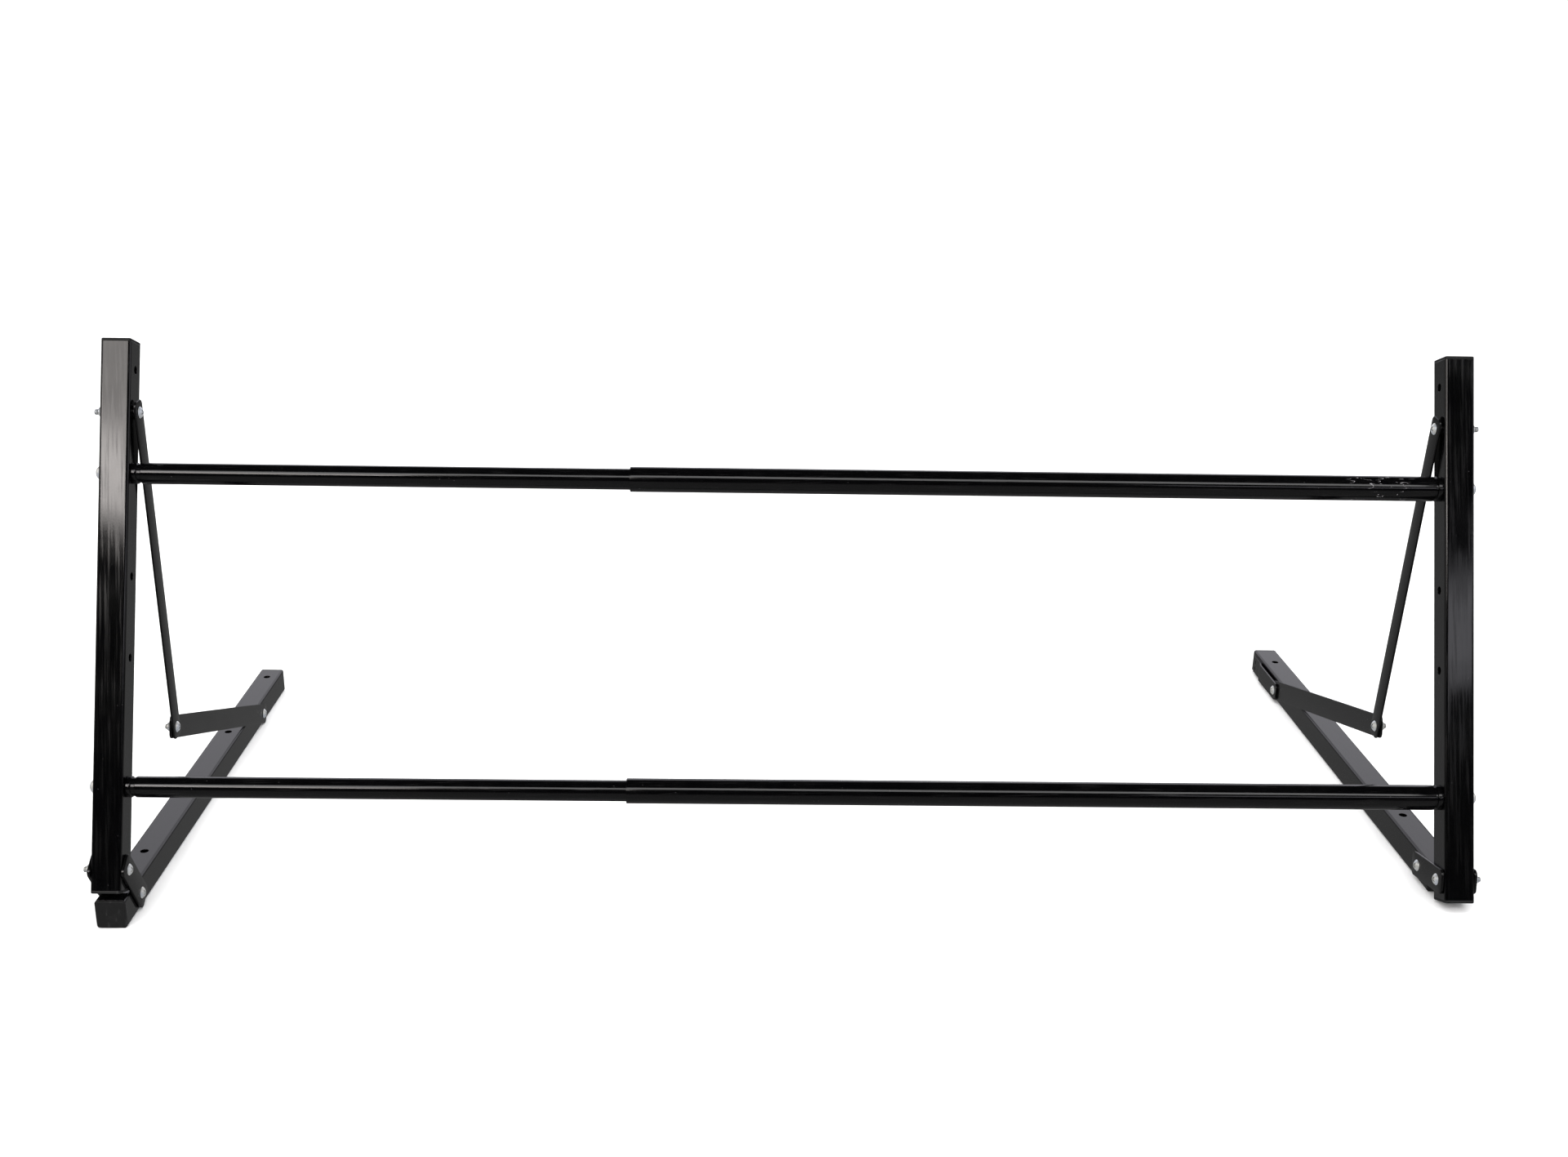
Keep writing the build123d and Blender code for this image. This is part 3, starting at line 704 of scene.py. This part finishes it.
def make_plug(level, side, sign):
    """A plug: its bolt hole, a chamfered flange against the arm, then a plain spigot in the bar."""
    part, axis = f"{level}_{side}_bar_plug", -sign * ACROSS
    lowest, highest = reach_along(part, axis)
    length, radius = (highest - lowest) / MM, BAR_RADIUS[side]
    neck = radius - BAR_WALL[side] - PLUG_PLAY
    profile = [(0, length - PLUG_BOTTOM), (PLUG_BORE, length - PLUG_BOTTOM), (PLUG_BORE, 0.3),
               (PLUG_BORE + 0.3, 0), (radius - 0.9, 0), (radius - 0.6, 0.08), (radius - 0.08, 0.5),
               (radius, 0.75), (radius, PLUG_FLANGE - 0.75), (radius - 0.08, PLUG_FLANGE - 0.5),
               (radius - 0.6, PLUG_FLANGE - 0.08),
               (neck + 0.3, PLUG_FLANGE), (neck, PLUG_FLANGE + 0.3), (neck, length - 0.8),
               (neck - 0.8, length), (0, length)]
    centre = on_axis(middle_of(part), axis, lowest)
    piece = make_piece(part + "_turned", [(turned(profile, COLUMNS, centre, axis), False)], BAR_PAINT)
    return finished(piece, f"{side}_arm", "black_enamel", part)


for side, sign in SIDES.items():
    link_pivot = pivot(f"{side}_long_link_hinge")
    make_ring(f"{side}_link_spacer", f"{side}_arm", [link_pivot], -sign * ACROSS, *SPACER,
              FLAT_PAINT, "black_enamel")
    make_ring(f"{side}_bar_washers", f"{side}_arm", bar_points[side], sign * ACROSS, *WASHER,
              BOLT_ZINC, "zinc")
    for level in ("upper", "lower"):
        make_plug(level, side, sign)
print("plugs of radius", BAR_RADIUS)


# %% The telescoping bars
RIM, BAR_COLUMNS, BAR_STATIONS = 0.55, 128, 7


def make_bar(level, gauge, side):
    """A round tube as one closed profile: over one half-round rim, back inside, over the other, and along
    the outside."""
    part = f"{level}_{gauge}_tube"
    radius, wall = BAR_RADIUS[side], BAR_WALL[side]
    low, high = extent(part)[:, 0] / MM
    length, bore = high - low, radius - wall
    far, near, outer, inner = length - RIM, RIM, radius - RIM, bore + RIM
    corners = ((outer, far, 0), (inner, far, 90), (inner, near, 180), (outer, near, 270))
    rims = [arc((across, along), RIM, start, start + 90, 6) for across, along, start in corners]
    stations = np.linspace(0, length, BAR_STATIONS + 2)[1:-1]
    outside = np.stack([np.full(BAR_STATIONS, radius), stations], -1)
    profile = np.concatenate([*rims, outside])
    centre = on_axis(middle_of(part), ACROSS, low * MM)
    paint = SCRATCHED_PAINT if part == "upper_thick_tube" else BAR_PAINT
    piece = make_piece(part + "_drawn", [(turned(profile, BAR_COLUMNS, centre, ACROSS), True)], paint)
    return finished(piece, f"{side}_arm", "black_enamel", part)


for level in ("upper", "lower"):
    make_bar(level, "thin", "left")
    make_bar(level, "thick", "right")
print("bars", {gauge: 2 * BAR_RADIUS[side] for gauge, side in (("thin", "left"), ("thick", "right"))}, "mm")

# %% [markdown]
# ## End caps
# A cap is a moulded shell: a slightly crowned face with a rounded rim, and a hollow square spigot that
# grips the tube. Its outline is a rounded square, written as a small square core plus a circle, so that
# one angle walks round it. Smaller outlines of the same kind make the face, down to its middle.

# %% Rounded rectangle and caps
def rounded_outline(half_length, half_width, corner, angle, hurry=5.0):
    """The core rectangle's point in the direction of an angle, plus a circle of the corner's radius."""
    core_x = (half_length - corner) * np.clip(hurry * np.cos(angle), -1, 1)
    core_y = (half_width - corner) * np.clip(hurry * np.sin(angle), -1, 1)
    return np.stack([core_x + corner * np.cos(angle), core_y + corner * np.sin(angle)], -1)


CAP_HALF, CAP_CORNER, CAP_FLANGE, CAP_SPIGOT, CAP_RIM = 15.0, 3.0, 3.0, 13.4, 1.2
# half-width, corner radius and height of each ring, from the face's middle to the inside of the shell
CAP_RINGS = [(0.0, 0.0, 2.82), (2.2, 2.2, 2.82), (2.5, 2.5, 2.98), (8.0, 5.0, 3.0), (12.0, 3.0, 2.94)]
CAP_RINGS += [(CAP_HALF - CAP_RIM + CAP_RIM * sin(t), CAP_CORNER - CAP_RIM + CAP_RIM * sin(t),
               1.74 + CAP_RIM * cos(t)) for t in np.radians([0, 18, 36, 54, 72, 90])]
CAP_RINGS += [(CAP_HALF, CAP_CORNER, 0.25), (14.8, 2.9, 0.0), (13.5, 1.7, 0.0), (CAP_SPIGOT, 1.6, -0.3)]
CAP_RINGS += [(CAP_SPIGOT, 1.6, -5.0), (13.15, 1.4, -5.3), (CAP_SPIGOT, 1.6, -5.8), (CAP_SPIGOT, 1.6, -9.0)]
CAP_RINGS += [(13.15, 1.4, -9.3), (CAP_SPIGOT, 1.6, -9.8), (12.9, 1.4, -13.9), (12.2, 1.2, -14.0)]
CAP_RINGS += [(11.5, 1.0, -13.7), (11.5, 1.0, 0.4), (10.5, 0.8, 0.8), (0.0, 0.0, 0.8)]


def make_cap(part, body, outward):
    """A cap on the tube's end, from its CAD node's outermost face inwards."""
    across_end = np.cross(outward, ACROSS)
    reach = extent(part, (ACROSS, across_end, outward))
    middle = reach.mean(0)
    angle = np.linspace(0, 2 * pi, COLUMNS, endpoint=False)
    rings = [np.column_stack([rounded_outline(half, half, corner, angle), np.full(COLUMNS, height)])
             for half, corner, height in CAP_RINGS]
    centre = ACROSS * middle[0] + across_end * middle[1] + outward * (reach[1, 2] - CAP_FLANGE * MM)
    grid = stand(np.array(rings), centre, ACROSS, across_end, outward)
    piece = make_piece(part + "_moulded", [(grid, False)], CAP_PLASTIC, crease=40.0)
    return finished(piece, body, "black_plastic", part)


def arm_direction(side):
    """Unit vector up an arm: both its hinge and its link bolt lie on the middle line."""
    foot, head = (np.array(hinges[f"{side}_{name}"]["pos_m"]) for name in ("arm_hinge", "long_link_hinge"))
    return (head - foot) / np.linalg.norm(head - foot)


for side in SIDES:
    up_arm = arm_direction(side)
    make_cap(f"{side}_arm_upper_cap", f"{side}_arm", up_arm)
    make_cap(f"{side}_arm_lower_cap", f"{side}_arm", -up_arm)
    make_cap(f"{side}_rail_hinge_cap", f"{side}_rail", -ALONG)
    make_cap(f"{side}_rail_far_cap", f"{side}_rail", ALONG)
lean = np.degrees(np.arccos(arm_direction("left") @ ALONG))
print("arms lean", round(float(lean), 2), "degrees off the rails")

# %% [markdown]
# ## Stamped plates and links
# The hinge plates and brace links are blanked from strip. The press rounds the edge on one face and
# tears it slightly on the other, and paint then softens both. A plate is a set of rounded rectangles,
# one inside the other, that shrink to the middle line on each face. A Bevel modifier would round the
# edges too, but the rings keep all corners even and leave the flats truly flat.

# %% Plates and links
STAMPED_EDGE, FLAT_CORNER, FLAT_COLUMNS = 0.55, 6.0, 160


def make_flat(part, body, direction):
    """Flat steel along direction, eased at its edges; the two faces close along the middle line."""
    width_way = np.cross(ACROSS, direction)
    reach = extent(part, (direction, width_way, ACROSS))
    half_length, half_width, half_thick = (reach[1] - reach[0]) / 2 / MM
    turn = np.radians([90, 60, 30, 0])
    inset = STAMPED_EDGE * (1 - np.cos(turn))
    rise = half_thick - STAMPED_EDGE + STAMPED_EDGE * np.sin(turn)
    insets = np.concatenate([[half_width], inset, inset[::-1], [half_width]])
    heights = np.concatenate([[half_thick], rise, -rise[::-1], [-half_thick]])
    angle = np.linspace(0, 2 * pi, FLAT_COLUMNS, endpoint=False)
    rings = []
    for step, height in zip(insets, heights):
        corner = max(FLAT_CORNER - step, 0.0)
        outline = rounded_outline(half_length - step, half_width - step, corner, angle, hurry=9.0)
        rings.append(np.column_stack([outline, np.full(FLAT_COLUMNS, height)]))
    centre = np.array([direction, width_way, ACROSS]).T @ reach.mean(0)
    grid = stand(np.array(rings), centre, direction, width_way, ACROSS)
    piece = make_piece(part + "_stamped", [(grid, False)], FLAT_PAINT)
    return finished(piece, body, "black_enamel", part)


def line_between(start, end):
    """Unit vector between two rack points, seen from the side and given in the world."""
    run = ALONG * (end[1] - start[1]) + UP * (end[2] - start[2])
    return run / np.linalg.norm(run)


for side in SIDES:
    plate_line = line_between(*hinge_points[side])
    for face in ("inner", "outer"):
        make_flat(f"{side}_{face}_hinge_plate", f"{side}_plates", plate_line)
    for link in (f"{side}_long_link", f"{side}_short_link"):
        make_flat(link, link, line_between(pivot(f"{link}_hinge"), elbow_points[side]))
print("flat steel of", round(2 * STAMPED_EDGE, 2), "mm eased edges")

# %% [markdown]
# ## What stays from the CAD
# The square tubes and the guard strap are right as they are: their holes, slots and joggle are cut in
# the solid. They keep their meshes and get the finished paint, whose bevelled normals soften the rims
# of the holes as a thick coat does.

# %% Paint the tubes and the strap
def paint_node(part, material):
    """Gives a CAD node's object its own finish in each material slot."""
    for slot in frame["nodes"][part].material_slots:
        slot.link = "OBJECT"
        slot.material = material


for side in SIDES:
    paint_node(f"{side}_arm", TUBE_PAINT)
    paint_node(f"{side}_wall_rail", TUBE_PAINT)
paint_node("right_guard_strap", FLAT_PAINT)
print("kept", [name for name, part in frame["nodes"].items() if not part.hide_render])

# %% [markdown]
# ## Studio
# Gloss black shows nothing but reflections, so the lights are shaped for what each face mirrors. A wide
# key stands high behind the camera. Below it the left arm has a softbox of its own with a bright strip
# at the lower edge, and the right arm a lower and dimmer one. A panel stands beyond the rails, two side
# panels draw the outer faces, and a box overhead lights the floor without being mirrored. The floor is
# a wide pale sheet. It stays out of mirror view, as dark flags on a real set keep it.

# %% Floor
FLOOR_HALF, FLOOR_CELLS = 60.0, 24
FLOOR_PALE = (0.93, 0.93, 0.93, 1.0)


def pale_floor():
    """A flat pale sheet: a grid of points with height 0, wide enough that its edges are never seen."""
    line = np.linspace(-FLOOR_HALF, FLOOR_HALF, FLOOR_CELLS + 1)
    grid = np.stack(np.meshgrid(line, line, [0.0]), -1)[:, :, 0]
    faces = quads(FLOOR_CELLS + 1, FLOOR_CELLS + 1).reshape(FLOOR_CELLS, FLOOR_CELLS + 1, 4)[:, :-1]
    mesh = bpy.data.meshes.new("floor")
    mesh.from_pydata(grid.reshape(-1, 3).tolist(), [], faces[..., ::-1].reshape(-1, 4).tolist())
    sheet = bpy.data.objects.new("floor", mesh)
    bpy.context.scene.collection.objects.link(sheet)
    material, tree, shader = start_material("pale_floor", {"Roughness": 0.9, "Specular IOR Level": 0.1})
    shader.inputs["Base Color"].default_value = FLOOR_PALE
    mesh.materials.append(material)
    sheet.visible_glossy = False
    return sheet


floor = pale_floor()
print("floor", [round(v, 2) for v in floor.dimensions])

# %% Lights
def softbox(name, place, aim, size, radiance, tint=(1.0, 1.0, 1.0), unseen=True):
    """A rectangular softbox. Its power is pi times its area times the brightness that it shows."""
    light = bpy.data.lights.new(name, "AREA")
    light.shape = "RECTANGLE"
    light.size, light.size_y = size
    light.energy = pi * size[0] * size[1] * radiance
    light.color = tint
    box = bpy.data.objects.new(name, light)
    box.location = place
    box.rotation_euler = (Vector(aim) - Vector(place)).to_track_quat("-Z", "Y").to_euler()
    box.visible_camera = not unseen
    bpy.context.scene.collection.objects.link(box)
    return box


RACK_MIDDLE = (0.0, -0.2, 0.4)
WARM, NEUTRAL, COOL = (1.0, 0.95, 0.92), (1.0, 1.0, 1.0), (0.94, 0.93, 1.0)
softbox("key_softbox", (0.0, -3.6, 3.62), RACK_MIDDLE, (7.0, 1.35), 2.6, NEUTRAL)
softbox("left_softbox", (-2.1, -3.6, 2.64), RACK_MIDDLE, (2.2, 1.15), 4.0, WARM)
softbox("left_strip", (-2.1, -3.58, 2.20), RACK_MIDDLE, (2.2, 0.26), 6.5, WARM)
softbox("right_softbox", (2.3, -3.6, 1.58), RACK_MIDDLE, (2.0, 0.34), 1.7, COOL)
softbox("back_panel", (0.0, 6.5, 2.5), (0.0, 0.0, 0.3), (9.0, 4.4), 0.95, COOL)
for place, tint in ((-7.5, WARM), (7.5, COOL)):
    softbox("side_panel", (place, 0.0, 2.3), (0.0, 0.0, 0.5), (6.0, 3.4), 0.9, tint)
top = softbox("top_softbox", (0.0, 0.6, 4.2), (0.0, 0.6, 0.0), (7.0, 5.0), 1.0, NEUTRAL)
top.visible_glossy = False

# %% [markdown]
# ## The air of the studio
# The air shines evenly on the floor, so that the floor comes out nearly white. A mirrored ray meets a
# different air: almost dark above the horizon, and dim below it, where the floor would have been.

# %% Air
AIR_FOR_FLOOR, MIRRORED_LOW, MIRRORED_HIGH = 1.16, 0.2, 0.008
world = bpy.data.worlds.new("studio_air")
world.use_nodes = True
air = world.node_tree
direction = add_node(air, "ShaderNodeTexCoord").outputs["Generated"]
facing = add_node(air, "ShaderNodeSeparateXYZ", [("Vector", direction)])
downward = ramp(air, maths(air, "MULTIPLY", facing.outputs["Z"], -1.0), -0.05, 0.25)
mirrored = maths(air, "ADD", maths(air, "MULTIPLY", downward, MIRRORED_LOW - MIRRORED_HIGH), MIRRORED_HIGH)
glossy = add_node(air, "ShaderNodeLightPath").outputs["Is Glossy Ray"]
plain = maths(air, "MULTIPLY", maths(air, "SUBTRACT", 1.0, glossy), AIR_FOR_FLOOR)
strength = maths(air, "ADD", maths(air, "MULTIPLY", glossy, mirrored), plain)
air.links.new(strength, air.nodes["Background"].inputs["Strength"])
air.nodes["Background"].inputs["Color"].default_value = (1.0, 1.0, 1.0, 1.0)
bpy.context.scene.world = world
bpy.context.scene.view_settings.view_transform = "Standard"
print("air", AIR_FOR_FLOOR, "for the floor,", MIRRORED_LOW, "and", MIRRORED_HIGH, "in mirrors")

# %% [markdown]
# ## Camera
# The camera stands in front of the hinges, a little left of the middle and above the arms' tips, and
# looks down along the rails. Its direction is given by three vectors: ahead, to its right and above.

# %% Camera
STANCE, LENS, SHIFT = (-0.04831, -1.83601, 0.85908), 38.95, (0.0142, 0.0227)
LOOK = np.array([0.012797, 0.942664, -0.333498])
RIGHT = np.array([0.999856, -0.015789, -0.006261])
ABOVE = np.array([0.011168, 0.333370, 0.942730])
camera_data = bpy.data.cameras.new("studio_camera")
camera_data.sensor_fit, camera_data.sensor_width, camera_data.lens = "HORIZONTAL", 36.0, LENS
camera_data.shift_x, camera_data.shift_y = SHIFT
camera_data.clip_end = 60.0
camera = bpy.data.objects.new("studio_camera", camera_data)
placing = np.eye(4)
placing[:3, 0], placing[:3, 1], placing[:3, 2], placing[:3, 3] = RIGHT, ABOVE, -LOOK, STANCE
camera.matrix_world = Matrix(placing.tolist())
bpy.context.scene.collection.objects.link(camera)
bpy.context.scene.camera = camera
print("camera at", [round(v, 3) for v in camera.location])
